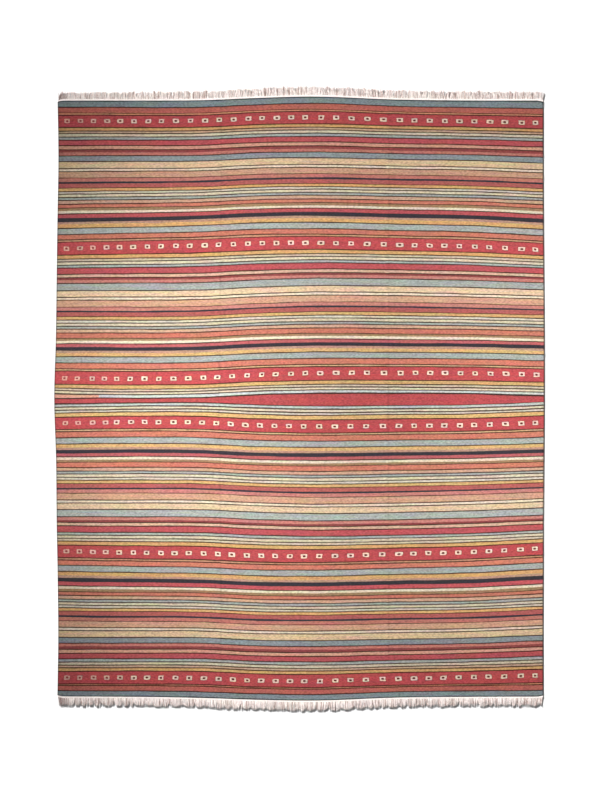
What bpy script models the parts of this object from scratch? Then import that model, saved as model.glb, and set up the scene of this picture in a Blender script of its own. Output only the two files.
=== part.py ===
# A flat-woven striped kilim of about 8 ft by 10 ft, lying flat, with a warp fringe at each end.
# Metres, +Z up. The warps and the rug's length run along Y, and its stripes run along X.
# The origin is on the floor, under the middle of the rug.

import math
import random

import bmesh
import bpy
import numpy as np

# Driving dimensions
WIDEST = 2.450              # selvedge to selvedge, halfway along
SIDE_LENGTH = 2.978         # the woven cloth along either selvedge
CLOTH_THICKNESS = 0.003
PIECE_GAP = 0.0003          # between the cloth's end and each heading
HEADING_WIDTH = 0.008       # the twined line that locks the last weft
CORNER_DROP = 0.006         # how far an end line is drawn in at a corner
CORNER_RUN = 0.040          # the width over which it is drawn in
CREASE_HEIGHT = 0.002       # what is left of the two folds it was stored in
CREASE_HALF_WIDTH = 0.045
CREASE_FADE = 0.150         # the creases die out this close to either end
CREASE_PLACES = (-0.406, 0.440)   # across the rug, counted on its widest line
CREASE_LINES = (-1, -0.5, 0, 0.5, 1)
CREASE_CLEAR = 1.4          # even lines this near to a crease, in its half widths, are left out
CORNER_LINES = (0.0, 0.35, 0.70)
LARGEST_BOW = 0.021         # as in the table of the woven ends
LOCKS = 149                 # locks of fringe at each end
LOCK_LENGTH = 0.038         # the least that a lock reaches past its heading
LOCK_EXTRA = 0.005          # more of it where the end bows out
LOCK_UNEVEN = 0.006         # the most that chance and a slow wave add to a lock
LOCK_WAVE = 4.7             # locks in a radian of that wave
LOCK_LEAN = 0.004           # the most that a lock's end is pushed sideways
CLOTH_ROWS = 20
CLOTH_COLUMNS = 20
SEED = 31

# The selvedges: how far along, from the near end (-1) to the far end (1),
# and how many millimetres each side lies inside the widest line
SIDE_ROWS = (
    # along, left_in, right_in
    (-1.0, 16, 5),
    (-0.8, 20, 6),
    (-0.6, 17, 5),
    (-0.4, 12, 4),
    (-0.2, 9, 2),
    (0.0, 0, 0),
    (0.2, 8, 0),
    (0.4, 12, 2),
    (0.6, 16, 4),
    (0.8, 21, 5),
    (1.0, 17, 5),
)

# The woven ends: how far across, from the left (-1) to the right (1),
# and how many millimetres each end bows out past its corners
END_ROWS = (
    # across, near_out, far_out
    (-1.0, 0, 0),
    (-0.8, 1, 0),
    (-0.6, 3, 0),
    (-0.4, 8, 2),
    (-0.2, 16, 12),
    (0.0, 21, 20),
    (0.2, 17, 14),
    (0.4, 6, 5),
    (0.6, 2, 1),
    (0.8, 2, 0),
    (1.0, 1, 0),
)

# One lock of fringe, outward from its heading: the share of its length,
# its width as a share of the root's, and its height above the floor
LOCK_STEPS = (
    # reach, width, height
    (0.55, 1.20, 0.0028),
    (1.00, 0.55, 0.0018),
)


def read_row(rows, place, column):
    # A smooth curve through one column of a table whose first column is evenly spaced
    spacing = rows[1][0] - rows[0][0]
    last = len(rows) - 1
    step = (place - rows[0][0]) / spacing
    low = min(max(int(step), 0), last - 1)
    share = min(max(step - low, 0.0), 1.0)
    before, start, end, after = (
        rows[min(max(low + offset, 0), last)][column] for offset in (-1, 0, 1, 2)
    )
    rise_in = (end - before) / 2
    rise_out = (after - start) / 2
    bend = 2 * (start - end) + rise_in + rise_out
    return start + share * (rise_in + share * (3 * (end - start) - 2 * rise_in - rise_out + share * bend))


def side_x(along, side):
    inset = read_row(SIDE_ROWS, along, 1 if side < 0 else 2) / 1000
    return side * (WIDEST / 2 - inset)


def end_bow(across, end):
    return read_row(END_ROWS, across, 1 if end < 0 else 2) / 1000


def end_y(across, end):
    from_corner = (1 - abs(across)) * WIDEST / 2
    drawn_in = CORNER_DROP * max(0.0, 1 - from_corner / CORNER_RUN) ** 2
    return end * (SIDE_LENGTH / 2 + end_bow(across, end) - drawn_in)


def column_places():
    # Even lines across the cloth, and more of them at the creases and the corners
    half_crease = CREASE_HALF_WIDTH / (WIDEST / 2)
    corner = CORNER_RUN / (WIDEST / 2)
    places = [2 * i / CLOTH_COLUMNS - 1 for i in range(CLOTH_COLUMNS + 1)]
    for crease in CREASE_PLACES:
        middle = crease / (WIDEST / 2)
        places = [place for place in places if abs(place - middle) > CREASE_CLEAR * half_crease]
        places += [middle + half_crease * line for line in CREASE_LINES]
    for side in (-1, 1):
        places += [side * (1 - corner * (1 - line)) for line in CORNER_LINES]
    return sorted(places)


def end_line(across, end, columns):
    # Both pieces follow the cloth's own straight steps here, so that their gap is even
    return np.interp(across, columns, [end_y(column, end) for column in columns])


def soft_step(share):
    share = min(1.0, max(0.0, share))
    return share * share * (3 - 2 * share)


def crease_lift(across, along):
    # A crease follows the warps, so it keeps its place between the selvedges
    fade = soft_step((1 - abs(along)) * SIDE_LENGTH / 2 / CREASE_FADE)
    from_middle = across * WIDEST / 2
    return fade * CREASE_HEIGHT * sum(
        soft_step(1 - abs(from_middle - place) / CREASE_HALF_WIDTH) for place in CREASE_PLACES
    )


def make_material(name, colour, roughness):
    material = bpy.data.materials.new(name)
    material.use_nodes = True
    shader = material.node_tree.nodes["Principled BSDF"]
    shader.inputs["Base Color"].default_value = (*colour, 1)
    shader.inputs["Roughness"].default_value = roughness
    shader.inputs["Metallic"].default_value = 0.0
    return material


def place_object(name, mesh_builder, material, collection):
    mesh = bpy.data.meshes.new(name)
    mesh_builder.to_mesh(mesh)
    mesh_builder.free()
    mesh.materials.append(material)
    placed = bpy.data.objects.new(name, mesh)
    collection.objects.link(placed)
    return placed


def make_woven_field(material, collection):
    # One sheet of cloth, drawn to its outline and given its thickness upwards
    columns = column_places()
    builder = bmesh.new()
    bmesh.ops.create_grid(builder, x_segments=len(columns) - 1, y_segments=CLOTH_ROWS, size=1)
    for vert in builder.verts:
        column = round((vert.co.x + 1) / 2 * (len(columns) - 1))
        across, along = columns[column], vert.co.y
        left, right = side_x(along, -1), side_x(along, 1)
        near, far = end_y(across, -1), end_y(across, 1)
        vert.co.x = left + (right - left) * (across + 1) / 2
        vert.co.y = near + (far - near) * (along + 1) / 2
        vert.co.z = crease_lift(across, along)
    cloth = place_object("woven_field", builder, material, collection)
    thicken = cloth.modifiers.new("thickness", "SOLIDIFY")
    thicken.thickness = CLOTH_THICKNESS
    thicken.offset = 1
    return cloth


def grow_lock(builder, root, length, lean):
    # A lock is its root face drawn outward step by step, always lying on the floor
    tip = root
    start = root.calc_center_median()
    half_width = max(vert.co.x for vert in root.verts) - start.x
    for reach, width, height in LOCK_STEPS:
        tip = bmesh.ops.extrude_discrete_faces(builder, faces=[tip])["faces"][0]
        middle = tip.calc_center_median()
        for vert in tip.verts:
            side = 1 if vert.co.x > middle.x else -1
            vert.co.z = height if vert.co.z > middle.z else 0.0
            vert.co.x = start.x + lean * reach ** 2 + side * half_width * width
            vert.co.y = start.y + length * reach


def make_fringe(name, end, material, collection):
    # A narrow heading strip, with every second stretch of its outer face drawn out into a lock
    draw = random.Random(SEED + end)
    stretches = 2 * LOCKS + 1
    builder = bmesh.new()
    bmesh.ops.create_cube(builder, size=1)
    lengthways = [e for e in builder.edges if abs(e.verts[0].co.x - e.verts[1].co.x) > 0.5]
    bmesh.ops.subdivide_edges(builder, edges=lengthways, cuts=stretches - 1, use_grid_fill=True)
    for vert in builder.verts:
        vert.co.x *= 2
        vert.co.y = (vert.co.y + 0.5) * HEADING_WIDTH
        vert.co.z = (vert.co.z + 0.5) * CLOTH_THICKNESS
    outer = [face for face in builder.faces if face.calc_center_median().y > HEADING_WIDTH * 0.99]
    outer.sort(key=lambda face: face.calc_center_median().x)
    for index, root in enumerate(outer[1::2]):
        bowed = end_bow(root.calc_center_median().x, end) / LARGEST_BOW
        uneven = (2 * draw.random() + 1 + math.sin(index / LOCK_WAVE)) / 4
        length = LOCK_LENGTH + LOCK_EXTRA * bowed + LOCK_UNEVEN * uneven
        lean = LOCK_LEAN * draw.uniform(-1, 1) / (WIDEST / 2)
        grow_lock(builder, root, length, lean)
    columns = column_places()
    left, right = side_x(end, -1), side_x(end, 1)
    for vert in builder.verts:
        across, outward = vert.co.x, vert.co.y
        vert.co.x = left + (right - left) * (across + 1) / 2
        vert.co.y = end_line(across, end, columns) + end * (PIECE_GAP + outward)
    if end < 0:
        bmesh.ops.reverse_faces(builder, faces=builder.faces)
    return place_object(name, builder, material, collection)


def main():
    for old in list(bpy.data.objects):
        bpy.data.objects.remove(old, do_unlink=True)
    rug = bpy.data.collections.new("kilim_rug")
    bpy.context.scene.collection.children.link(rug)
    wool = make_material("red_wool", (0.55, 0.13, 0.12), 0.9)
    warp = make_material("cream_warp", (0.80, 0.74, 0.66), 0.9)
    make_woven_field(wool, rug)
    make_fringe("fringe_far", 1, warp, rug)
    make_fringe("fringe_near", -1, warp, rug)


main()
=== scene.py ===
# Looks of the striped kilim: the woven cloth and its squares, the twined headings and the fringes.
# Metres, +Z up. The warps and the rug's length run along Y, and its stripes run along X.
import math

import bmesh
import bpy
import numpy as np
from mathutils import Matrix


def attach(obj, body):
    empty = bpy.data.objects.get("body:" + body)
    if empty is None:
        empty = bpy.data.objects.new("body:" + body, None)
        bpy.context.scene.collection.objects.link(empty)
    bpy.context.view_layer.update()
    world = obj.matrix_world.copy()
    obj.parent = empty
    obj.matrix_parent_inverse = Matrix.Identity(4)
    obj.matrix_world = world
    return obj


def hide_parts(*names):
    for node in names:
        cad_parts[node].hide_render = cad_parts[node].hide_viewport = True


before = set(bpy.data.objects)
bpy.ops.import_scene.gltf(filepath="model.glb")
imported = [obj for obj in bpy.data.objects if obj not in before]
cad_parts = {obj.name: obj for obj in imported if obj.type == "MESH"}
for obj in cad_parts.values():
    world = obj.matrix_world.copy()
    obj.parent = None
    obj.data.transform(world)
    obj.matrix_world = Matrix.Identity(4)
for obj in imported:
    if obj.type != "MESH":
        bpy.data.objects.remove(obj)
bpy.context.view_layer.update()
scene = bpy.context.scene
mm = 0.001
print("frame loaded")

# The rug's outline, as the solids have it
shape = {
    "widest": 2.450,
    "sideLength": 2.978,
    "cornerDrop": 0.006,        # how far an end line is drawn in at a corner
    "cornerRun": 0.040,
    "leftIn": (16, 20, 17, 12, 9, 0, 8, 12, 16, 21, 17),    # mm inside the widest line, near end to far
    "rightIn": (5, 6, 5, 4, 2, 0, 0, 2, 4, 5, 5),
    "bowAcross": (-1, -0.82, -0.6, -0.4, -0.2, 0.04, 0.4, 0.7, 1),
    # How far each line of the weave bows away from the rug's middle, in mm.
    # The first number is its distance from the far end.
    "bows": (
        (0, (0, 0, 0, 2, 12, 20, 5, 0.5, 0)),
        (28, (-0.5, -1, -2.5, -1, 11, 19, 3.5, -2.5, -6.5)),
        (110, (-0.5, 0, -1, 1.5, 12.5, 18.5, 7.5, 1.5, -7)),
        (297, (-1, 0, 0, 2.5, 14.5, 18.5, 10.5, 4.5, -8.5)),
        (450, (-4, -1, 1.5, 5.5, 16.5, 22, 15, 9.5, -5)),
        (550, (-4.5, -1.5, 1.5, 7, 19, 24, 16.5, 10.5, -6.5)),
        (590, (-4.5, -1, 3, 11, 23.5, 28, 18.5, 11.5, -7)),
        (640, (-4.5, 0.5, 4.5, 11, 22.5, 27, 18, 10.5, -8)),
        (690, (-4, 1.5, 7, 12.5, 23, 27, 18, 10, -9)),
        (800, (-3.5, 0, 3, 8, 18.5, 25, 19.5, 12, -4.5)),
        (900, (-2, 0, 1, 3.5, 16, 24.5, 21, 14, 1)),
        (1047, (-1, 0, -1, 3, 15, 24.5, 22.5, 16, 7.5)),
        (1215, (-0.5, 0, -1, 3.5, 17, 24, 20.5, 17.5, 9)),
        (1300, (0, 0, -1, 3, 15.5, 23, 22.5, 19.5, 10)),
        (1370, (2, 0, -1, 3, 15.5, 23, 23.5, 21, 12.5)),
        (1425, (3, 0, -1, 2.5, 14, 22, 22.5, 20.5, 13)),
        (1465, (6, 0, -1, 3, 15, 22, 21.5, 18.5, 10)),
        (1487, (-4, 0, 0, 4, 17, 25, 26, 23.5, 14)),
        (1512, (6, 2.5, -1.5, -2, 7, 14.5, 11, 8, -6)),
        (1577, (6, 2, -0.5, 1.5, 12.5, 18.5, 14, 10.5, -3)),
        (1647, (4, 0.5, -1, 2, 14.5, 20.5, 16, 11, -0.5)),
        (1730, (3, 0.5, -0.5, 3, 14.5, 18.5, 13.5, 9.5, -0.5)),
        (1835, (1.5, 0.5, -0.5, 2, 14.5, 20.5, 14.5, 8.5, -2)),
        (1997, (-0.5, 0, -0.5, 1.5, 12.5, 20, 15.5, 7, -7)),
        (2145, (-1.5, 0, 0.5, 1.5, 13, 19.5, 14, 5, -11)),
        (2310, (-3.5, 0.5, 5, 8.5, 19.5, 22, 12, 3, -17)),
        (2460, (-4, -0.5, 1, 4.5, 16.5, 20, 12, 6.5, -11.5)),
        (2610, (-3, -0.5, 0, 3, 14.5, 17.5, 10.5, 5, -10.5)),
        (2765, (1.5, 0.5, 0, 0.5, 12.5, 16.5, 8, 0.5, -13)),
        (2905, (1.5, 1, 1, 4, 14.5, 18.5, 7.5, 1.5, -6)),
        (2976, (0, 1, 3, 8, 16, 21, 6, 2, 1)),
    ),
    "middle": 1502,             # lines past this distance bow towards the near end
}
halfLength = shape["sideLength"] / 2
halfWidth = shape["widest"] / 2


def smoothCurve(places, values, at):
    # a soft curve through given points
    places, values, at = np.array(places, float), np.array(values, float), np.array(at, float)
    slopes = np.gradient(values, places)
    step = np.clip(np.searchsorted(places, at, side="right") - 1, 0, len(places) - 2)
    run = places[step + 1] - places[step]
    share = np.clip((at - places[step]) / run, 0, 1)
    rise = values[step + 1] - values[step]
    first, last = slopes[step] * run, slopes[step + 1] * run
    bend = first + last - 2 * rise
    return values[step] + share * (first + share * (3 * rise - 2 * first - last + share * bend))


def softStep(share):
    share = np.clip(share, 0, 1)
    return share * share * (3 - 2 * share)


def linear(tone):
    # a tone as the eye reads it, 0 to 255, as light
    tone = np.array(tone, float) / 255
    return np.where(tone <= 0.04045, tone / 12.92, ((tone + 0.055) / 1.055) ** 2.4)


def sideX(distance, side):
    # the selvedge at this distance (mm) from the far end
    along = 1 - 2 * np.array(distance, float) * mm / shape["sideLength"]
    inset = smoothCurve(np.linspace(-1, 1, 11), shape["leftIn" if side < 0 else "rightIn"], along)
    return side * (halfWidth - inset * mm)


def wovenPoint(distance, across):
    # where a point of the weave lies: x and y for a distance (mm) from the far end and a place across
    distance, across = np.broadcast_arrays(np.array(distance, float), np.array(across, float))
    flatAcross = across.ravel()
    table = np.array([smoothCurve(shape["bowAcross"], row, flatAcross) for _, row in shape["bows"]])
    places = [place for place, _ in shape["bows"]]
    bow = np.array([np.interp(d, places, table[:, i]) for i, d in enumerate(distance.ravel())])
    bow = bow.reshape(distance.shape) * mm
    outward = np.where(distance < shape["middle"], 1, -1)
    fromEnd = np.minimum(distance, shape["sideLength"] / mm - distance) * mm
    fromCorner = (1 - np.abs(across)) * halfWidth
    drawn = np.clip(1 - fromCorner / shape["cornerRun"], 0, 1) ** 2 * np.clip(1 - fromEnd / 0.03, 0, 1)
    y = halfLength - distance * mm + outward * (bow - shape["cornerDrop"] * drawn)
    left, right = sideX(distance, -1), sideX(distance, 1)
    return left + (right - left) * (across + 1) / 2, y


# The yarns and the order in which they are woven
yarnGain = 0.68
yarns = {
    "teal": (155, 169, 173),
    "headingJoinShade": (58, 70, 72),
    "coral": (222, 134, 111),
    "brick": (214, 118, 104),
    "oliveGold": (242, 164, 126),
    "crimson": (207, 95, 99),
    "bandCrimson": (207, 85, 88),
    "deepCrimson": (203, 86, 88),
    "rose": (207, 108, 110),
    "gold": (234, 183, 120),
    "straw": (233, 189, 126),
    "wheat": (232, 190, 146),
    "amber": (218, 163, 128),
    "greyCream": (217, 182, 152),
    "dove": (222, 205, 178),
    "cream": (236, 221, 190),
    "paleBlue": (183, 188, 182),
    "lightBlue": (200, 206, 200),
    "tan": (238, 176, 150),
    "maroon": (158, 77, 75),
    "salmon": (214, 133, 120),
    "lightSalmon": (219, 142, 130),
    "blueGrey": (159, 167, 170),
    "creamTan": (241, 208, 166),
    "lightTan": (243, 212, 174),
    "white": (254, 234, 207),
    "peach": (226, 175, 144),
    "shell": (232, 190, 162),
    "inkLine": (46, 54, 64),
    "mauve": (196, 105, 99),
    "greyWhite": (230, 219, 198),
    "blush": (226, 181, 152),
    "olive": (175, 140, 104),
    "navy": (58, 52, 60),
    "mauveTan": (202, 157, 136),
    "outline": (54, 20, 4),
    "joinedBlue": (214, 218, 213),
    "squareCream": (255, 223, 202),
    "squareRim": (132, 46, 52),
    "squareDark": (110, 50, 42),
}
yarnLight = {name: linear(tone) * yarnGain for name, tone in yarns.items()}

# Each stripe: its yarn, its width in mm, and the outline towards the next one:
# 3 a broad dark line, 2 a full one, 1 a thin one, 0 none.
# The two inner repeats differ a little from the outer ones.
# The dark teal stripe at each end, next to the heading, is painted shade where the cloth meets the heading.
borderFar = (("headingJoinShade", 4.5, 0), ("teal", 27, 2), ("brick", 29, 1), ("oliveGold", 9.5, 2))
borderNear = (("oliveGold", 8, 2), ("brick", 26, 2), ("teal", 24.5, 0), ("headingJoinShade", 4.5, 0))
outerRepeat = (
    ("gold", 17, 2), ("greyCream", 13.5, 2), ("cream", 16, 2), ("paleBlue", 16, 2), ("crimson", 27.5, 2),
    ("tan", 20, 2), ("maroon", 14.5, 0), ("salmon", 16, 2), ("blueGrey", 29, 2), ("creamTan", 34, 2),
    ("white", 15, 2), ("peach", 31.5, 1), ("salmon", 19, 0), ("inkLine", 9, 0), ("mauve", 22, 1),
    ("gold", 16, 2), ("greyWhite", 13.5, 2), ("cream", 16, 2), ("paleBlue", 14.5, 2), ("blush", 19, 2),
    ("coral", 18.5, 1), ("olive", 15, 0), ("white", 14.5, 2), ("crimson", 21, 0), ("navy", 20, 0),
    ("mauveTan", 11, 0), ("gold", 20.5, 2), ("paleBlue", 31.5, 2), ("coral", 26.5, 2), ("amber", 11.5, 1),
)
innerRepeat = (
    ("gold", 20, 2), ("dove", 14.5, 2), ("cream", 16.5, 2), ("paleBlue", 14.5, 2), ("crimson", 31.5, 2),
    ("shell", 18, 2), ("maroon", 11.5, 0), ("lightSalmon", 17, 2), ("paleBlue", 36.5, 2),
    ("lightTan", 32.5, 2), ("white", 15, 2), ("peach", 34.5, 1), ("lightSalmon", 18.5, 0),
    ("inkLine", 8, 0), ("mauve", 22, 1),
    ("straw", 17, 2), ("greyWhite", 14.5, 2), ("cream", 17, 2), ("paleBlue", 14, 2), ("blush", 18.5, 2),
    ("coral", 26.5, 1), ("olive", 13, 0), ("white", 15, 2), ("rose", 17, 0), ("navy", 18, 0),
    ("mauveTan", 11.5, 0), ("straw", 18.5, 2), ("paleBlue", 31.5, 2), ("coral", 30.5, 2), ("wheat", 11, 2),
)
centreFar = (("straw", 20, 2), ("dove", 13.5, 3), ("cream", 14.5, 3), ("joinedBlue", 18.5, 3))
centreNear = (("lightBlue", 16, 3), ("cream", 15.5, 3), ("greyWhite", 13, 2), ("straw", 21, 2))
squareBand = (("bandCrimson", 1, 2),)
lensBand = (("deepCrimson", 1, 3),)


def mirrored(chart, lastOutline=2):
    # the same stripes in the other order, with each outline kept between the same two yarns
    outlines = [row[2] for row in chart[:-1]][::-1] + [lastOutline]
    return tuple((row[0], row[1], outlines[i]) for i, row in enumerate(chart[::-1]))


# Every section from the far end to the near end, with its length in mm
sections = (
    (borderFar, 72), (squareBand, 62), (outerRepeat, 570.5), (squareBand, 64.5),
    (innerRepeat, 583), (squareBand, 67.5), (centreFar, 67), (lensBand, 24),
    (centreNear, 65.5), (squareBand, 64), (mirrored(innerRepeat), 582), (squareBand, 64),
    (mirrored(outerRepeat), 563), (squareBand, 64), (borderNear, 63),
)
outlineWidths = (0, 3.6, 5.3, 6.2)


def layOutStripes():
    # the weave as (yarn, start, end) from the far end in mm, outlines included
    stripes, bands = [], []
    start = 0.0
    total = sum(length for _, length in sections)
    for chart, length in sections:
        scale = length / sum(row[1] for row in chart) * shape["sideLength"] / mm / total
        if chart is squareBand:
            bands.append((start, start + scale))
        for yarn, width, outline in chart:
            stripes.append([yarn, start, start + width * scale, outlineWidths[outline]])
            start += width * scale
    stripes[-1][3] = 0
    laid = []
    cut = 0.0
    for i, (yarn, low, high, edge) in enumerate(stripes):
        laid.append((yarn, low + cut / 2, high - edge / 2))
        if edge:
            laid.append((("outline", yarn, stripes[i + 1][0]), high - edge / 2, high + edge / 2))
        cut = edge
    return laid, bands


def yarnColour(yarn):
    # an outline takes a little of both its neighbours
    if isinstance(yarn, tuple):
        return yarnLight["outline"] + 0.03 * (yarnLight[yarn[1]] + yarnLight[yarn[2]])
    return yarnLight[yarn]


# Material groups shared by the pieces
def nodeTools(tree):
    def add(kind, **values):
        node = tree.nodes.new(kind)
        for key, value in values.items():
            if key in node.inputs:
                node.inputs[key].default_value = value
            else:
                setattr(node, key, value)
        return node

    def maths(operation, first, second=None, third=None):
        node = tree.nodes.new("ShaderNodeMath")
        node.operation = operation
        for i, value in enumerate((first, second, third)):
            if isinstance(value, bpy.types.NodeSocket):
                tree.links.new(value, node.inputs[i])
            elif value is not None:
                node.inputs[i].default_value = value
        return node.outputs[0]

    return add, maths, tree.links.new


def newGroup(name, inputs, outputs):
    group = bpy.data.node_groups.new(name, "ShaderNodeTree")
    for label, kind, value in inputs:
        socket = group.interface.new_socket(name=label, in_out="INPUT", socket_type=kind)
        if value is not None:
            socket.default_value = value
    for label, kind in outputs:
        group.interface.new_socket(name=label, in_out="OUTPUT", socket_type=kind)
    return group


def makeWeaveGroup():
    # ribs over the warps with the wefts packed down across them, each second rib half a weft on
    group = newGroup(
        "packedWeave",
        (("Vector", "NodeSocketVector", None), ("Rib", "NodeSocketFloat", 0.0036),
         ("Weft", "NodeSocketFloat", 0.0012), ("Uneven", "NodeSocketFloat", 0.6)),
        (("Height", "NodeSocketFloat"), ("Groove", "NodeSocketFloat")),
    )
    add, maths, link = nodeTools(group)
    given = add("NodeGroupInput")
    out = add("NodeGroupOutput")
    parts = add("ShaderNodeSeparateXYZ")
    link(given.outputs["Vector"], parts.inputs[0])
    drift = add("ShaderNodeTexNoise", Scale=22.0, Detail=1.0)
    link(given.outputs["Vector"], drift.inputs["Vector"])
    sway = maths("MULTIPLY", maths("SUBTRACT", drift.outputs[0], 0.5), given.outputs["Uneven"])
    rib = maths("ADD", maths("DIVIDE", parts.outputs[0], given.outputs["Rib"]), sway)
    step = maths("MULTIPLY", maths("MODULO", maths("ABSOLUTE", maths("FLOOR", rib)), 2.0), 0.5)
    weft = maths("ADD", maths("ADD", maths("DIVIDE", parts.outputs[1], given.outputs["Weft"]), step), sway)
    ribWave = maths("POWER", maths("ABSOLUTE", maths("SINE", maths("MULTIPLY", rib, math.pi))), 0.6)
    weftWave = maths("POWER", maths("ABSOLUTE", maths("SINE", maths("MULTIPLY", weft, math.pi))), 0.8)
    fuzz = add("ShaderNodeTexNoise", Scale=900.0, Detail=2.0)
    link(given.outputs["Vector"], fuzz.inputs["Vector"])
    bead = maths("MULTIPLY", ribWave, maths("MULTIPLY_ADD", weftWave, 0.4, 0.6))
    link(maths("MULTIPLY_ADD", fuzz.outputs[0], 0.25, bead), out.inputs["Height"])
    link(maths("SUBTRACT", 1.0, bead), out.inputs["Groove"])
    return group


def makeAbrashGroup():
    # uneven dye: long streaks along the wefts, softer patches, and flecks
    group = newGroup(
        "abrash",
        (("Vector", "NodeSocketVector", None), ("Yarn", "NodeSocketColor", (0.5, 0.5, 0.5, 1)),
         ("Streaks", "NodeSocketFloat", 0.35), ("Patches", "NodeSocketFloat", 0.22),
         ("Flecks", "NodeSocketFloat", 0.3)),
        (("Color", "NodeSocketColor"),),
    )
    add, maths, link = nodeTools(group)
    given = add("NodeGroupInput")
    out = add("NodeGroupOutput")
    colour = given.outputs["Yarn"]
    layers = (
        ("Streaks", (7.0, 170.0, 7.0), 3.0, True),
        ("Patches", (9.0, 40.0, 9.0), 2.0, True),
        ("Flecks", (85.0, 200.0, 85.0), 1.0, False),
    )
    for label, size, detail, tinted in layers:
        stretch = add("ShaderNodeMapping")
        stretch.inputs["Scale"].default_value = size
        link(given.outputs["Vector"], stretch.inputs["Vector"])
        noise = add("ShaderNodeTexNoise", Scale=1.0, Detail=detail)
        link(stretch.outputs[0], noise.inputs["Vector"])
        around = add("ShaderNodeVectorMath", operation="SUBTRACT")
        link(noise.outputs[1 if tinted else 0], around.inputs[0])
        around.inputs[1].default_value = (0.5, 0.5, 0.5)
        grow = add("ShaderNodeVectorMath", operation="SCALE")
        link(around.outputs[0], grow.inputs[0])
        link(given.outputs[label], grow.inputs["Scale"])
        factor = add("ShaderNodeVectorMath", operation="ADD")
        link(grow.outputs[0], factor.inputs[0])
        factor.inputs[1].default_value = (1, 1, 1)
        dyed = add("ShaderNodeVectorMath", operation="MULTIPLY")
        link(colour, dyed.inputs[0])
        link(factor.outputs[0], dyed.inputs[1])
        colour = dyed.outputs[0]
    link(colour, out.inputs["Color"])
    return group


def makePlyGroup():
    # two plies twisted round each other, read from a strand's own map: u around it, v in metres along it
    group = newGroup(
        "twistedPly",
        (("Vector", "NodeSocketVector", None), ("Turn", "NodeSocketFloat", 0.006)),
        (("Height", "NodeSocketFloat"), ("Groove", "NodeSocketFloat")),
    )
    add, maths, link = nodeTools(group)
    given = add("NodeGroupInput")
    out = add("NodeGroupOutput")
    parts = add("ShaderNodeSeparateXYZ")
    link(given.outputs["Vector"], parts.inputs[0])
    turns = maths("ADD", parts.outputs[0], maths("DIVIDE", parts.outputs[1], given.outputs["Turn"]))
    ply = maths("POWER", maths("ABSOLUTE", maths("SINE", maths("MULTIPLY", turns, math.tau))), 0.7)
    link(ply, out.inputs["Height"])
    link(maths("SUBTRACT", 1.0, ply), out.inputs["Groove"])
    return group


weaveGroup = makeWeaveGroup()
abrashGroup = makeAbrashGroup()
plyGroup = makePlyGroup()


def yarnMaterial(name, relief, look):
    # relief is the group that gives the height: the weave, or the ply of a loose strand
    material = bpy.data.materials.new(name)
    material.use_nodes = True
    tree = material.node_tree
    add, maths, link = nodeTools(tree)
    shader = tree.nodes["Principled BSDF"]
    coords = add("ShaderNodeTexCoord")
    tone = add("ShaderNodeAttribute", attribute_name="yarn")
    dye = add("ShaderNodeGroup", node_tree=abrashGroup)
    for label in ("Streaks", "Patches", "Flecks"):
        dye.inputs[label].default_value = look[label]
    link(coords.outputs["Object"], dye.inputs["Vector"])
    link(tone.outputs["Color"], dye.inputs["Yarn"])
    form = add("ShaderNodeGroup", node_tree=relief)
    if relief is plyGroup:
        plyMap = add("ShaderNodeUVMap", uv_map="ply")
        link(plyMap.outputs[0], form.inputs["Vector"])
    else:
        link(coords.outputs["Object"], form.inputs["Vector"])
    # painted shade in the grooves: the colour is darker between the ribs and wefts of the weave, and between
    # the plies of a strand
    shade = maths("MULTIPLY_ADD", form.outputs["Groove"], -look["grooveShade"], 1.0)
    darker = add("ShaderNodeVectorMath", operation="SCALE")
    link(dye.outputs["Color"], darker.inputs[0])
    link(shade, darker.inputs["Scale"])
    link(darker.outputs[0], shader.inputs["Base Color"])
    link(maths("MULTIPLY_ADD", form.outputs["Groove"], 0.1, look["roughness"]), shader.inputs["Roughness"])
    bump = add("ShaderNodeBump", Strength=look["bump"], Distance=look["bumpDepth"])
    link(form.outputs["Height"], bump.inputs["Height"])
    link(bump.outputs["Normal"], shader.inputs["Normal"])
    shader.inputs["Specular IOR Level"].default_value = 0.25
    shader.inputs["Sheen Weight"].default_value = look["sheen"]
    shader.inputs["Sheen Roughness"].default_value = 0.5
    return material


woolMaterial = yarnMaterial("packedWool", weaveGroup, {
    "Streaks": 0.60, "Patches": 0.26, "Flecks": 1.25, "grooveShade": 0.35,
    "roughness": 0.84, "bump": 0.5, "bumpDepth": 0.0006, "sheen": 0.06,
})
warpMaterial = yarnMaterial("warpYarn", plyGroup, {
    "Streaks": 0.0, "Patches": 0.08, "Flecks": 0.20, "grooveShade": 0.15,
    "roughness": 0.80, "bump": 0.5, "bumpDepth": 0.0004, "sheen": 0.06,
})
print("materials made")


# Helpers for the meshes
def readPoints(mesh):
    points = np.empty(len(mesh.vertices) * 3)
    mesh.vertices.foreach_get("co", points)
    return points.reshape(-1, 3)


def cornerVertices(mesh):
    corners = np.empty(len(mesh.loops), int)
    mesh.loops.foreach_get("vertex_index", corners)
    return corners


def cornerCounts(mesh):
    counts = np.empty(len(mesh.polygons), int)
    mesh.polygons.foreach_get("loop_total", counts)
    return counts


def paintFaces(mesh, colours):
    # one colour to a face, kept as the attribute that the yarn materials read
    tones = np.ones((len(mesh.loops), 4))
    tones[:, :3] = np.repeat(colours, cornerCounts(mesh), axis=0)
    mesh.attributes.new("yarn", "FLOAT_COLOR", "CORNER").data.foreach_set("color", tones.ravel())


def mapCorners(mesh, name, u, v):
    layer = mesh.uv_layers.new(name=name)
    layer.data.foreach_set("uv", np.column_stack((u, v)).ravel())


def repeatTemplate(template, count):
    # one mesh with the template in it this many times, in order
    builder = bmesh.new()
    for _ in range(count):
        builder.from_mesh(template)
    mesh = bpy.data.meshes.new(template.name + "s")
    builder.to_mesh(mesh)
    builder.free()
    return mesh


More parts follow.
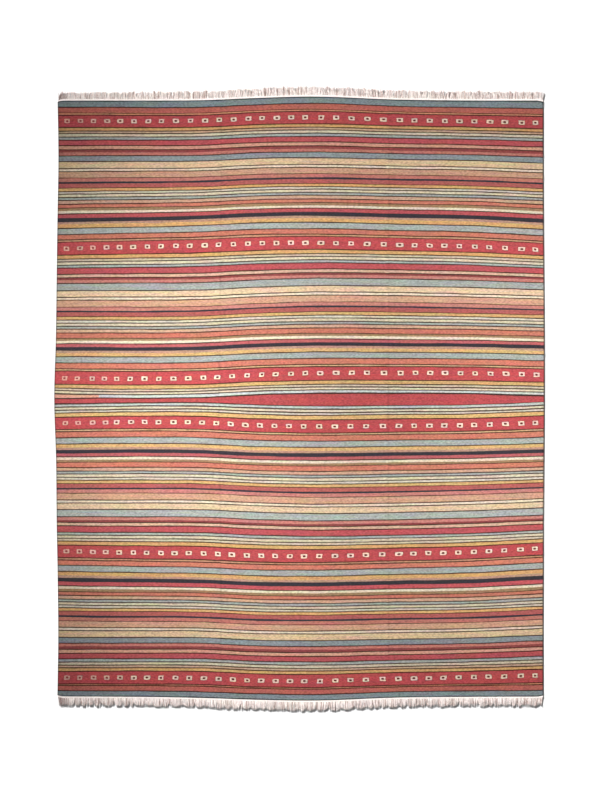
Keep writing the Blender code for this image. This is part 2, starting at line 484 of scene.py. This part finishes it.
def cellMap(copy, count, u, v):
    # each copy has its own square cell in the bake map, with a little clear round it
    cells = math.ceil(math.sqrt(count))
    return ((copy % cells) + 0.06 + 0.88 * u) / cells, ((copy // cells) + 0.06 + 0.88 * v) / cells


def finishPiece(name, mesh, material, stoodFor):
    mesh.materials.clear()
    mesh.materials.append(material)
    mesh.shade_smooth()
    piece = bpy.data.objects.new(name, mesh)
    scene.collection.objects.link(piece)
    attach(piece, "root")
    if stoodFor:
        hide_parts(stoodFor)
    return piece


# The woven cloth
cloth = {
    "thickness": 0.0027,
    "lift": 0.0001,             # off the floor, so that the two never share a plane
    "pillow": 0.00012,          # how far a stripe stands up between its outlines
    "pillowFrom": 6,            # narrower stripes (mm) stay flat
    "wander": 0.8,              # mm that a woven line strays, and its two edges by themselves
    "edgeWander": 0.55,
    "wanderRun": 3,             # columns to a bend of it
    "columns": 88,
    "endRow": 1.2,              # mm, a row that keeps the cut ends crisp
    "creases": (-0.406, 0.440),
    "creaseHeight": 0.0017,
    "creaseHalfWidth": 0.045,
    "foldHeight": 0.0005,       # the sharper fold line on top of the soft ridge
    "foldHalfWidth": 0.009,
    "creaseFade": 0.150,
    "foldPaintedShade": 0.92,          # painted shade in a line just right of each fold, on its side away from the light
    "selvedgeLines": (0, 0.0015, 0.0035, 0.007),
    "selvedgeThickness": (0.40, 0.85, 1.08, 1.0),
    # painted shade along the selvedges where they round down to the floor: a factor on the colour by face
    # columns from each edge
    "leftShade": (0.30, 0.42, 0.72, 1.0),
    "rightShade": (0.40, 0.60, 0.86, 1.0),
    "yarnVariation": 0.05,
    "joinedUntil": -0.84,       # the far pale blue line at the centre starts in tan yarn
    "seed": 47,
}
thickest = max(cloth["selvedgeThickness"])
lengthMm = shape["sideLength"] / mm


def clothColumns():
    fold = cloth["foldHalfWidth"] / halfWidth
    edge = cloth["selvedgeLines"][-1] / halfWidth
    places = [p for p in np.linspace(-1, 1, cloth["columns"] + 1) if abs(p) < 1 - 1.5 * edge]
    for crease in cloth["creases"]:
        middle = crease / halfWidth
        places = [p for p in places if abs(p - middle) > 1.4 * fold]
        places += [middle + fold * step for step in (-1, -0.5, 0, 0.5, 1)]
    places += [side * (1 - line / halfWidth) for side in (-1, 1) for line in cloth["selvedgeLines"]]
    return np.array(sorted(places))


columns = clothColumns()


def creaseLift(distance, across):
    # straight from one column to the next, so that what lies on the cloth follows its steps
    lift = np.zeros(len(columns))
    for crease in cloth["creases"]:
        away = np.abs(columns * halfWidth - crease)
        lift += cloth["creaseHeight"] * softStep(1 - away / cloth["creaseHalfWidth"])
        lift += cloth["foldHeight"] * softStep(1 - away / cloth["foldHalfWidth"])
    fade = softStep(np.minimum(distance, lengthMm - distance) * mm / cloth["creaseFade"])
    return fade * np.interp(across, columns, lift)


def layRows(laid):
    # a row of points at each edge of a stripe, and one along its middle for its soft crown
    places, crowns, stripeOf, lineOf = [0.0], [0.0], [], [-1]
    line = 0
    for i, (yarn, low, high) in enumerate(laid):
        between = [(low + high) / 2] if high - low > cloth["pillowFrom"] else []
        if i == 0:
            between.insert(0, cloth["endRow"])
        if i == len(laid) - 1:
            between.append(high - cloth["endRow"])
        for place in between:
            places.append(place)
            crowns.append(1.0 if abs(place - (low + high) / 2) < 1e-6 else 0.0)
            stripeOf.append(i)
            lineOf.append(-1)
        if not isinstance(yarn, tuple):
            line += 1
        places.append(high)
        crowns.append(0.0)
        stripeOf.append(i)
        lineOf.append(line)
    lineOf[-1] = -1
    return np.array(places), np.array(crowns), np.array(stripeOf), lineOf


def wanderOf(lineOf, columnCount, draw):
    # woven lines stray a little, and both edges of an outline stray together
    knots = np.arange(0, columnCount + cloth["wanderRun"], cloth["wanderRun"])
    steps = np.arange(columnCount)
    wander = np.zeros((len(lineOf), columnCount))
    strays = {}
    for i, line in enumerate(lineOf):
        if line < 0:
            continue
        if line not in strays:
            strays[line] = smoothCurve(knots, draw.uniform(-1, 1, len(knots)), steps)
        alone = smoothCurve(knots, draw.uniform(-1, 1, len(knots)), steps)
        wander[i] = cloth["wander"] * strays[line] + cloth["edgeWander"] * alone
    return wander


def makeCloth():
    laid, bands = layOutStripes()
    draw = np.random.default_rng(cloth["seed"])
    places, crowns, stripeOf, lineOf = layRows(laid)
    wander = wanderOf(lineOf, len(columns), draw)

    builder = bmesh.new()
    bmesh.ops.create_grid(builder, x_segments=len(columns) - 1, y_segments=len(places) - 1, size=1)
    mesh = bpy.data.meshes.new("wovenCloth")
    builder.to_mesh(mesh)
    builder.free()
    points = readPoints(mesh)
    column = np.rint((points[:, 0] + 1) / 2 * (len(columns) - 1)).astype(int)
    row = np.rint((1 - points[:, 1]) / 2 * (len(places) - 1)).astype(int)
    across = columns[column]
    distance = places[row] + wander[row, column]
    x, y = wovenPoint(distance, across)
    z = creaseLift(distance, across) + cloth["pillow"] * crowns[row] + cloth["lift"]
    mesh.vertices.foreach_set("co", np.column_stack((x, y, z)).ravel())

    # each face takes the yarn of the stripe that it lies in
    corners, counts = cornerVertices(mesh), cornerCounts(mesh)
    starts = np.concatenate(([0], np.cumsum(counts)[:-1]))
    faceRow = np.minimum.reduceat(row[corners], starts)
    faceColumn = np.minimum.reduceat(column[corners], starts)
    tones = np.array([yarnColour(yarn) for yarn, _, _ in laid])
    tones = tones * (1 + cloth["yarnVariation"] * draw.uniform(-1, 1, (len(laid), 1)))
    stripe = stripeOf[faceRow]
    colours = tones[stripe]
    joined = np.array([yarn == "joinedBlue" for yarn, _, _ in laid])[stripe]
    colours[joined & (columns[faceColumn] < cloth["joinedUntil"])] = yarnLight["tan"]
    # painted shade on the selvedge columns
    fromLeft = np.array(cloth["leftShade"])[np.clip(faceColumn, 0, 3)]
    fromRight = np.array(cloth["rightShade"])[np.clip(len(columns) - 2 - faceColumn, 0, 3)]
    # painted shade: the faces just right of each fold, on its side away from the light, are made darker
    middle = (columns[faceColumn] + columns[faceColumn + 1]) / 2 * halfWidth
    past = np.min([np.where(middle > crease, middle - crease, 1) for crease in cloth["creases"]], axis=0)
    wearAndShade = np.where(past < cloth["foldHalfWidth"], cloth["foldPaintedShade"], 1.0)
    paintFaces(mesh, colours * (fromLeft * fromRight * wearAndShade)[:, None])

    # the bake map: the far half of the rug on the left, the near half on the right
    half = len(places) // 2
    isNear = np.repeat(faceRow >= half, counts)
    begin = np.where(isNear, places[half], 0)
    run = np.where(isNear, places[-1] - places[half], places[half])
    u = (isNear + 0.004 + 0.992 * (across[corners] + 1) / 2) / 2
    v = 0.002 + 0.996 * (places[row[corners]] - begin) / run
    mapCorners(mesh, "OFBake", u, v)

    piece = finishPiece("woven_cloth", mesh, woolMaterial, "woven_field")
    group = piece.vertex_groups.new(name="thickness")
    for i in range(len(columns)):
        near = min(i, len(columns) - 1 - i)
        share = cloth["selvedgeThickness"][near] if near < len(cloth["selvedgeThickness"]) else 1.0
        group.add([int(k) for k in np.flatnonzero(column == i)], share / thickest, "REPLACE")
    thicken = piece.modifiers.new("thickness", "SOLIDIFY")
    thicken.thickness = cloth["thickness"] * thickest
    thicken.offset = 1
    thicken.vertex_group = "thickness"
    return piece, bands


clothPiece, squareBands = makeCloth()
print("cloth woven")

# The squares in the crimson bands
squares = {
    "first": -1.161,            # x of the first one in a band
    # how many steps, and how long
    "steps": ((4, 0.0668), (3, 0.0690), (10, 0.0718), (4, 0.0770), (2, 0.0820), (6, 0.0747),
              (1, 0.0780), (1, 0.0810), (1, 0.0705)),
    # how many mm each band's squares stray to the right, at places across
    "strayAcross": (-1, -0.90, -0.84, -0.79, -0.74, -0.5, 0, 0.5, 1),
    "strays": (
        (0, 0, 0, 0, 0, 0, 0, 0, 0), (0, 0, 0, 0, 0, 0, 0, 0, -3), (7, 2, 8, -1, -6, 0, 4, 3, -1),
        (8, 3, 13, 5, -4, -4, -4, -2, -3), (3, 0, -3, -5, -3, -4, -6, -6, -3),
        (0, 0, 0, 0, -2, -4, -4, -5, -3),
    ),
    # and how many towards the near end
    "dropAcross": (-1, -0.72, -0.5, 0, 0.5, 1),
    "drops": (
        (-1, -2, -2.5, -1, 1, 2), (0, -3, -3.5, -1, 3, 3.5), (4, 2.5, 3, -1.5, -3, -3.5),
        (-2, -1.5, -2, 0, 2, 2), (-1, 1.5, 1.5, 1, -3, -3), (0, 1.5, 1, 0.5, -1.5, -3.5),
    ),
    "halfWidth": 0.0162,        # where the squares are the usual step apart: they widen with it
    "usualStep": 0.0730,
    "halfDepth": 0.0104,
    "eyeHalfWidth": 0.0070,
    "eyeHalfDepth": 0.0050,
    "corners": 8.0,             # 2 is round, and more is squarer
    "eyeCorners": 3.0,
    "rim": 0.0016,              # the dark weft that closes a square off
    "stand": 0.00025,           # how far the extra weft stands out of the cloth
    "under": 0.00005,
    "sides": 16,
    "pinch": 0.0034,            # how far the left and right sides may be drawn in
    "scaleUneven": 0.06,
    "shearUneven": 0.10,
    "cornerUneven": 0.0016,
    "eyeUneven": 0.0012,
    "placeUneven": 0.0022,
    "bright": 1.10,
    "toneUneven": 0.08,
    "dullUntil": -0.72,         # left of this place across they are worn down towards the ground
    "dullAndShade": 0.5,
    "seed": 12,
}


def squareRings():
    # halfX, halfY, height, corners: from the eye underneath, out and up through the cloth, and in to the eye
    width, depth = squares["halfWidth"], squares["halfDepth"]
    rim, full = squares["rim"], squares["corners"]
    eye = (squares["eyeHalfWidth"], squares["eyeHalfDepth"])
    return (
        (*eye, 0.0, squares["eyeCorners"]), (width + rim, depth + rim, 0.0, full),
        (width + rim, depth + rim, 0.95, full), (width, depth, 1.0, full),
        ((width + eye[0]) / 2, (depth + eye[1]) / 2, 1.0, (full + squares["eyeCorners"]) / 2),
        (*eye, 1.0, squares["eyeCorners"]),
    )


def squareTemplate():
    # the rings are bridged as a stack of circles first, which leaves no doubt about which points meet
    rings = squareRings()
    builder = bmesh.new()
    last = None
    for level in range(len(rings)):
        capped = level in (0, len(rings) - 1)
        made = bmesh.ops.create_circle(builder, cap_ends=capped, segments=squares["sides"], radius=1)
        ring = made["verts"]
        bmesh.ops.translate(builder, verts=ring, vec=(0, 0, level))
        edges = [e for e in builder.edges if e.verts[0] in ring and e.verts[1] in ring]
        if last:
            bmesh.ops.bridge_loops(builder, edges=last + edges)
        last = edges
    bmesh.ops.recalc_face_normals(builder, faces=builder.faces)
    for vert in builder.verts:
        halfX, halfY, height, corners = rings[round(vert.co.z)]
        reach = (abs(vert.co.x) ** corners + abs(vert.co.y) ** corners) ** (-1 / corners)
        vert.co = (halfX * reach * vert.co.x, halfY * reach * vert.co.y, height)
    mesh = bpy.data.meshes.new("wovenSquare")
    builder.to_mesh(mesh)
    builder.free()
    return mesh


def makeSquares():
    template = squareTemplate()
    draw = np.random.default_rng(squares["seed"])
    steps = np.concatenate([[0]] + [[step] * count for count, step in squares["steps"]])
    perBand = len(steps)
    # the spacing was counted in the first band, so it is carried over as places across
    low, high = squareBands[0]
    left, right = sideX((low + high) / 2, -1), sideX((low + high) / 2, 1)
    placeAcross = (squares["first"] + np.cumsum(steps) - left) / (right - left) * 2 - 1
    widen = np.maximum(steps, steps[1]) / squares["usualStep"]
    copies = perBand * len(squareBands)
    mesh = repeatTemplate(template, copies)
    points = readPoints(mesh)
    perCopy = len(template.vertices)
    copy = np.arange(len(points)) // perCopy
    band, index = copy // perBand, copy % perBand

    scale = 1 + squares["scaleUneven"] * draw.uniform(-1, 1, (copies, 2))
    shear = squares["shearUneven"] * draw.uniform(-1, 1, copies)
    pinch = squares["pinch"] * draw.uniform(-0.2, 1, copies)
    pull = squares["cornerUneven"] * draw.uniform(-1, 1, (copies, 2, 2, 2))
    eyeShift = squares["eyeUneven"] * draw.uniform(-1, 1, (copies, 2))
    stray = squares["placeUneven"] * draw.uniform(-1, 1, (copies, 2)) * (1, 0.4)
    dx, dy = points[:, 0].copy(), points[:, 1].copy()
    isEye = np.maximum(np.abs(dx) / squares["halfWidth"], np.abs(dy) / squares["halfDepth"]) < 0.5
    corner = pull[copy, (dx > 0).astype(int), (dy > 0).astype(int)]
    weight = np.abs(dx) / squares["halfWidth"] * np.abs(dy) / squares["halfDepth"]
    drawnIn = pinch[copy] * np.clip(1 - (dy / squares["halfDepth"]) ** 2, 0, 1)
    drawnIn = drawnIn * (dx / squares["halfWidth"]) ** 3
    dx = dx * scale[copy, 0] + shear[copy] * dy + corner[:, 0] * weight + eyeShift[copy, 0] * isEye - drawnIn
    dy = dy * scale[copy, 1] + corner[:, 1] * weight + eyeShift[copy, 1] * isEye
    middle = np.array([(low + high) / 2 for low, high in squareBands])[band]
    strays, drops = (
        np.array([np.interp(placeAcross, squares[at], row) for row in squares[key]])
        for at, key in (("strayAcross", "strays"), ("dropAcross", "drops"))
    )
    dx = dx * widen[index]
    across = placeAcross[index] + (dx + stray[copy, 0] + strays[band, index] * mm) / halfWidth
    distance = middle - (dy + stray[copy, 1]) / mm + drops[band, index]
    x, y = wovenPoint(distance, across)
    top = cloth["lift"] + cloth["thickness"] + cloth["pillow"] + squares["stand"]
    z = squares["under"] + points[:, 2] * (top - squares["under"]) + creaseLift(distance, across)
    mesh.vertices.foreach_set("co", np.column_stack((x, y, z)).ravel())

    counts, corners = cornerCounts(mesh), cornerVertices(mesh)
    starts = np.concatenate(([0], np.cumsum(counts)[:-1]))
    # a face of the rim or of the sides touches the outermost ring
    outermost = np.abs(points[:, 2] - 0.95) < 0.01
    isRimFace = np.logical_or.reduceat(outermost[corners], starts)
    isEyeFace = counts == squares["sides"]
    tone = squares["bright"] + squares["toneUneven"] * draw.uniform(-1, 1, (copies, 1))
    faceCopy = np.arange(len(counts)) // len(template.polygons)
    colours = np.where(isEyeFace[:, None], yarnLight["squareDark"], yarnLight["squareCream"])
    colours = np.where(isRimFace[:, None], yarnLight["squareRim"], colours)
    wearAndShade = np.clip((squares["dullUntil"] - placeAcross) / (squares["dullUntil"] + 1), 0, 1)
    wearAndShade = squares["dullAndShade"] * np.sqrt(wearAndShade)[faceCopy % perBand, None]
    colours = colours + wearAndShade * (yarnLight["bandCrimson"] - colours)
    paintFaces(mesh, colours * tone[faceCopy])
    u = 0.5 + 0.45 * points[corners, 0] / squares["halfWidth"]
    v = 0.5 + 0.45 * points[corners, 1] / squares["halfDepth"]
    mapCorners(mesh, "OFBake", *cellMap(copy[corners], copies, u, v))
    return finishPiece("woven_squares", mesh, woolMaterial, "woven_field")


squaresPiece = makeSquares()
print("squares woven in")

# The twined headings
warp = {
    "ivory": (255, 245, 240),
    "shade": (142, 98, 84),   # painted shade between the strands: the pinkish colour of the strands underneath and of a few upper ones
    "endShade": (112, 72, 66),  # the darker, reddish-brown strands at the left corners
}
ivory, gapShade, endShade = (linear(warp[name]) for name in ("ivory", "shade", "endShade"))

heading = {
    "pitch": 0.0054,
    "rows": ((0.0023, 1), (0.0061, -1)),    # how far out each row of grains lies, and its slant
    "grain": (0.0037, 0.0021, 0.00145),
    "slant": math.radians(27),
    "uneven": 0.10,
    "seed": 5,
}


def endPoint(end, across):
    # the cloth's end line: far for 1, near for -1
    return wovenPoint(0 if end > 0 else lengthMm, across)


def grainTemplate():
    builder = bmesh.new()
    bmesh.ops.create_uvsphere(builder, u_segments=6, v_segments=4, radius=1)
    turn = ((0, 0, 1), (0, 1, 0), (-1, 0, 0))
    for vert in builder.verts:
        vert.co = [sum(turn[i][k] * vert.co[k] for k in range(3)) for i in range(3)]
    mesh = bpy.data.meshes.new("twinedGrain")
    builder.to_mesh(mesh)
    builder.free()
    return mesh


def makeHeading(name, end, node):
    template = grainTemplate()
    draw = np.random.default_rng(heading["seed"] + end)
    edge = 0 if end > 0 else lengthMm
    width = float(sideX(edge, 1) - sideX(edge, -1))
    perRow = int(width / heading["pitch"])
    copies = perRow * len(heading["rows"])
    mesh = repeatTemplate(template, copies)
    points = readPoints(mesh)
    copy = np.arange(len(points)) // len(template.vertices)
    row, index = copy // perRow, copy % perRow
    size = heading["grain"] * (1 + heading["uneven"] * draw.uniform(-1, 1, (copies, 3)))[copy]
    grain = points * size
    out, slant = np.array(heading["rows"]).T
    turn = (slant[row] * heading["slant"] * end) * (1 + 0.2 * draw.uniform(-1, 1, copies)[copy])
    across = 2 * (index + 0.5 + 0.5 * row * 0.5) / perRow - 1
    across = np.clip(across, -1 + 0.003 / halfWidth, 1 - 0.003 / halfWidth)
    x, y = endPoint(end, across)
    ahead = endPoint(end, np.clip(across + 0.004, -1, 1))
    behind = endPoint(end, np.clip(across - 0.004, -1, 1))
    turn = turn + np.arctan2(ahead[1] - behind[1], ahead[0] - behind[0])
    x = x + grain[:, 0] * np.cos(turn) - grain[:, 1] * np.sin(turn)
    y = y + end * out[row] + grain[:, 0] * np.sin(turn) + grain[:, 1] * np.cos(turn)
    z = grain[:, 2] + heading["grain"][2] * (1 + heading["uneven"]) + cloth["lift"]
    mesh.vertices.foreach_set("co", np.column_stack((x, y, z)).ravel())
    faceCopy = np.arange(len(mesh.polygons)) // len(template.polygons)
    tone = 1 - 0.06 * draw.random((copies, 1))
    paintFaces(mesh, (ivory * tone)[faceCopy])
    corners = cornerVertices(mesh)
    around = np.arctan2(points[corners, 2], points[corners, 1]) / math.tau + 0.5
    mapCorners(mesh, "ply", around, points[corners, 0] * heading["grain"][0])
    u, v = (points[corners, 0] + 1) / 2, (points[corners, 1] + 1) / 2
    mapCorners(mesh, "OFBake", *cellMap(copy[corners], copies, u, v))
    return finishPiece(name, mesh, warpMaterial, node)


# The fringes
fringe = {
    "locks": 149,
    "perLock": 8,               # strands that show in each lock
    "underLock": 3,             # strands under them, coloured as painted shade between the upper ones
    "spread": 0.0172,           # how wide a lock's strands stand apart
    "start": 0.0062,            # they come out of the heading this far past the cloth
    "length": 0.0385,           # from there, at the corners
    "bowLength": 0.005,         # more of it where the end bows out
    "largestBow": 0.021,
    "clusters": (1, 2, 2, 3, 3, 4),   # how many locks gather into one scallop
    "scallop": 0.0095,          # how much shorter a scallop's outer strands are
    "gather": 0.0035,           # how far they are drawn towards its middle
    "uneven": 0.0022,
    "lockLean": 0.0025,
    "strandLean": 0.0045,
    "wave": 0.0012,
    "farLean": 2.6,             # the far strands lean this much more, and cross
    "nearLonger": 0.0030,
    "farLonger": 0.0045,
    "farWisp": (0.0030, 0.0055),    # past the left corner they are longer still, and some far longer
    "radius": 0.00100,
    "tipRadius": 0.00060,
    "pile": 0.0019,             # how high the upper strands lie on the ones under them
    "sides": 5,
    "steps": 6,
    "darkCornerLocks": 3,
    "seed": 83,
}


def strandTemplate():
    # a ring drawn out step by step along +Y
    builder = bmesh.new()
    ring = bmesh.ops.create_circle(builder, cap_ends=True, segments=fringe["sides"], radius=1)["verts"]
    for vert in ring:
        vert.co = (vert.co.x, 0, vert.co.y)
    builder.faces.ensure_lookup_table()
    tip = builder.faces[0]
    for _ in range(fringe["steps"]):
        tip = bmesh.ops.extrude_discrete_faces(builder, faces=[tip])["faces"][0]
        for vert in tip.verts:
            vert.co.y += 1 / fringe["steps"]
    bmesh.ops.recalc_face_normals(builder, faces=builder.faces)
    mesh = bpy.data.meshes.new("warpStrand")
    builder.to_mesh(mesh)
    builder.free()
    return mesh


def makeFringe(name, end, node):
    template = strandTemplate()
    draw = np.random.default_rng(fringe["seed"] + end)
    locks, perLock, under = fringe["locks"], fringe["perLock"], fringe["underLock"]
    copies = locks * (perLock + under)
    lock = np.concatenate((np.repeat(np.arange(locks), perLock), np.repeat(np.arange(locks), under)))
    isUnder = np.arange(copies) >= locks * perLock
    place = np.concatenate((
        np.tile(np.linspace(-0.5, 0.5, perLock), locks), np.tile(np.linspace(-0.4, 0.4, under), locks),
    ))
    lockAcross = 2 * (2 * lock + 1.5) / (2 * locks + 1) - 1
    rootAcross = lockAcross + (place + 0.06 * draw.uniform(-1, 1, copies)) * fringe["spread"] / halfWidth
    rootAcross = np.clip(rootAcross, -1 + 0.0015 / halfWidth, 1 - 0.0015 / halfWidth)
    rootX, rootY = endPoint(end, rootAcross)
    cornerY = endPoint(end, np.array([-0.9]))[1][0]
    bowed = np.abs(rootY - cornerY) / fringe["largestBow"]

    gathered = draw.choice(fringe["clusters"], locks)
    cluster = np.repeat(np.arange(locks), gathered)[:locks]
    first = np.searchsorted(cluster, cluster)
    wide = np.bincount(cluster, minlength=locks)[cluster]
    inCluster = ((np.arange(locks) - first)[lock] + place + 0.5) / wide[lock] * 2 - 1
    clusterLong = draw.uniform(-1, 1, locks)[cluster][lock]
    length = fringe["length"] + fringe["bowLength"] * bowed - fringe["scallop"] * inCluster ** 2
    length = length + fringe["uneven"] * (clusterLong + 0.5 * draw.uniform(-1, 1, copies))
    length = length + fringe["farLonger" if end > 0 else "nearLonger"]
    if end > 0:
        least, most = fringe["farWisp"]
        wisp = least + most * draw.random(copies) ** 3
        length = length + wisp * softStep((rootAcross + 0.85) / 0.25)
    length = np.where(isUnder, 0.86 * length, length)
    lean = fringe["lockLean"] * draw.uniform(-1, 1, locks)[cluster][lock]
    lean = lean - fringe["gather"] * inCluster ** 3
    lean = lean + fringe["strandLean"] * (fringe["farLean"] if end > 0 else 1) * draw.normal(0, 0.6, copies)
    phase = draw.uniform(0, math.tau, copies)
    curl = draw.uniform(0.5, 1.5, copies)
    level = np.where(isUnder, 0.0, draw.uniform(0.3, 1.0, copies))

    mesh = repeatTemplate(template, copies)
    points = readPoints(mesh)
    copy = np.arange(len(points)) // len(template.vertices)
    t = points[:, 1]

    def centre(t, copy):
        reach = length[copy] * t
        sway = lean[copy] * t ** 1.4
        sway = sway + fringe["wave"] * curl[copy] * np.sin(phase[copy] + 5.5 * t) * t
        return sway, reach

    sway, reach = centre(t, copy)
    aheadSway, aheadReach = centre(t + 0.02, copy)
    heading2d = np.arctan2(aheadSway - sway, aheadReach - reach)
    radius = fringe["radius"] + (fringe["tipRadius"] - fringe["radius"]) * t ** 2
    radius = radius * (1 + 0.15 * np.sin(3 * phase[copy] + 9 * t))
    carried = softStep(t * 4) * (1 - 0.35 * t)
    height = fringe["radius"] + cloth["lift"] + fringe["pile"] * level[copy] * carried
    side = points[:, 0] * radius
    x = rootX[copy] + sway + side * np.cos(heading2d)
    y = rootY[copy] + end * (fringe["start"] + reach - side * np.sin(heading2d))
    z = height + points[:, 2] * radius
    mesh.vertices.foreach_set("co", np.column_stack((x, y, z)).ravel())
    if end < 0:
        mesh.flip_normals()

    # painted shade between the strands: the strands underneath, and a few upper ones, are darker
    dullAndShade = np.where(isUnder, draw.uniform(0.6, 1.0, copies), draw.random(copies) ** 3.5)
    # the first few locks at the left corners are darker and reddish-brown
    leftCornerDark = np.clip(1 - lock / fringe["darkCornerLocks"], 0, 1) * draw.uniform(0.4, 1, copies)
    tone = ivory + dullAndShade[:, None] * (gapShade - ivory)
    tone = tone + leftCornerDark[:, None] * (endShade - tone)
    faceCopy = np.arange(len(mesh.polygons)) // len(template.polygons)
    paintFaces(mesh, tone[faceCopy])
    corners = cornerVertices(mesh)
    around = np.arctan2(points[corners, 2], points[corners, 0]) / math.tau + 0.5
    mapCorners(mesh, "ply", around, t[corners] * fringe["length"])
    mapCorners(mesh, "OFBake", *cellMap(copy[corners], copies, (points[corners, 0] + 1) / 2, t[corners]))
    return finishPiece(name, mesh, warpMaterial, node)


trim = []
for label, end in (("far", 1), ("near", -1)):
    trim.append(makeHeading("heading_" + label, end, "fringe_" + label))
    trim.append(makeFringe("fringe_strands_" + label, end, "fringe_" + label))
    print(label, "heading and fringe made")

# The studio: a white floor, a low sun from the far left, a soft spot on the rug
studio = {
    "floorSize": 60,
    "floorTone": 0.80,
    "floorDrop": 0.0001,
    "cameraHeight": 14.0,
    "cameraAt": (0.00375, -0.0075),
    "seenLength": 4.0,          # metres down the tall side of the picture
    "sunLevel": 0.33,
    "sunElevation": 14,
    "sunAzimuth": 119,          # counted from +X towards +Y
    "sunAngle": 2,
    "skyLevel": 0.16,
    "poolHeight": 7.0,
    "poolSoft": 0.4,
    # Soft pools of light on the rug, as x, y, reach and level: a broad one, and pairs of smaller ones
    "pools": (
        (0.72, 0.00, 2.60, 0.76), (-0.62, 0.40, 1.15, 0.42), (-0.62, -0.40, 1.15, 0.42),
        (-0.35, 1.10, 1.00, 0.28), (-0.35, -1.10, 1.00, 0.28), (1.05, 0.52, 0.88, 0.41),
        (1.05, -0.52, 0.88, 0.41), (-1.00, 0.15, 0.80, 0.12), (-1.00, -0.15, 0.80, 0.12),
    ),
    "floorSunLevel": 1.20,      # a sun on the floor alone, for its crisp shadow line
    "floorSunElevation": 11,
    "floorSunAngle": 0.5,
    "trimFill": 0.45,           # from straight above, on the headings and fringes alone
}


def lightObject(name, kind, place, turn):
    data = bpy.data.lights.new(name, kind)
    light = bpy.data.objects.new(name, data)
    light.location = place
    light.rotation_euler = turn
    scene.collection.objects.link(light)
    return light


def makeFloor():
    builder = bmesh.new()
    bmesh.ops.create_grid(builder, x_segments=1, y_segments=1, size=studio["floorSize"] / 2)
    bmesh.ops.translate(builder, verts=builder.verts, vec=(0, 0, -studio["floorDrop"]))
    mesh = bpy.data.meshes.new("studioFloor")
    builder.to_mesh(mesh)
    builder.free()
    material = bpy.data.materials.new("floorPaint")
    material.use_nodes = True
    shader = material.node_tree.nodes["Principled BSDF"]
    shader.inputs["Base Color"].default_value = (*[studio["floorTone"]] * 3, 1)
    shader.inputs["Roughness"].default_value = 0.9
    shader.inputs["Specular IOR Level"].default_value = 0.0
    mesh.materials.append(material)
    floor = bpy.data.objects.new("studio_floor", mesh)
    scene.collection.objects.link(floor)
    return floor


def lightOnly(light, name, objects):
    # this light falls on these objects alone
    group = bpy.data.collections.new(name)
    for item in objects:
        group.objects.link(item)
    light.light_linking.receiver_collection = group


def lowSun(name, level, elevation, angle):
    elevation, azimuth = math.radians(elevation), math.radians(studio["sunAzimuth"])
    sun = lightObject(name, "SUN", (-4, 6, 3), (math.pi / 2 - elevation, 0, azimuth + math.pi / 2))
    sun.data.energy = level * math.pi / math.sin(elevation)
    sun.data.angle = math.radians(angle)
    return sun


def overhead(name):
    light = lightObject(name, "SUN", (0, 0, 5), (0, 0, 0))
    light.data.energy = studio[name] * math.pi
    light.data.angle = math.radians(30)
    return light


floor = makeFloor()
rugPieces = [clothPiece, squaresPiece, *trim]
lowSun("lowSun", studio["sunLevel"], studio["sunElevation"], studio["sunAngle"])
floorSun = lowSun("floorSun", studio["floorSunLevel"], studio["floorSunElevation"], studio["floorSunAngle"])
lightOnly(floorSun, "sunOnFloor", [floor])
lightOnly(overhead("trimFill"), "fillOnTrim", trim)
for i, (x, y, reach, level) in enumerate(studio["pools"]):
    pool = lightObject(f"pool_{i + 1}", "SPOT", (x, y, studio["poolHeight"]), (0, 0, 0))
    pool.data.energy = level * 4 * math.pi ** 2 * studio["poolHeight"] ** 2
    pool.data.spot_size = 2 * math.atan(reach / studio["poolHeight"])
    pool.data.spot_blend = 1.0
    pool.data.shadow_soft_size = studio["poolSoft"]
    lightOnly(pool, f"poolOnRug_{i + 1}", rugPieces)

world = bpy.data.worlds.new("studioSky")
world.use_nodes = True
scene.world = world
add, maths, link = nodeTools(world.node_tree)
background = world.node_tree.nodes["Background"]
background.inputs["Color"].default_value = (1, 1, 1, 1)
seen = add("ShaderNodeLightPath")
link(maths("MULTIPLY_ADD", seen.outputs["Is Camera Ray"], 1 - studio["skyLevel"], studio["skyLevel"]),
     background.inputs["Strength"])

camera = bpy.data.objects.new("faceOn", bpy.data.cameras.new("faceOn"))
camera.location = (*studio["cameraAt"], studio["cameraHeight"])
camera.data.lens = camera.data.sensor_width * studio["cameraHeight"] / studio["seenLength"]
camera.data.clip_end = 100
scene.collection.objects.link(camera)
scene.camera = camera
scene.view_settings.view_transform = "Standard"
scene.view_settings.look = "None"

print("scene ready")
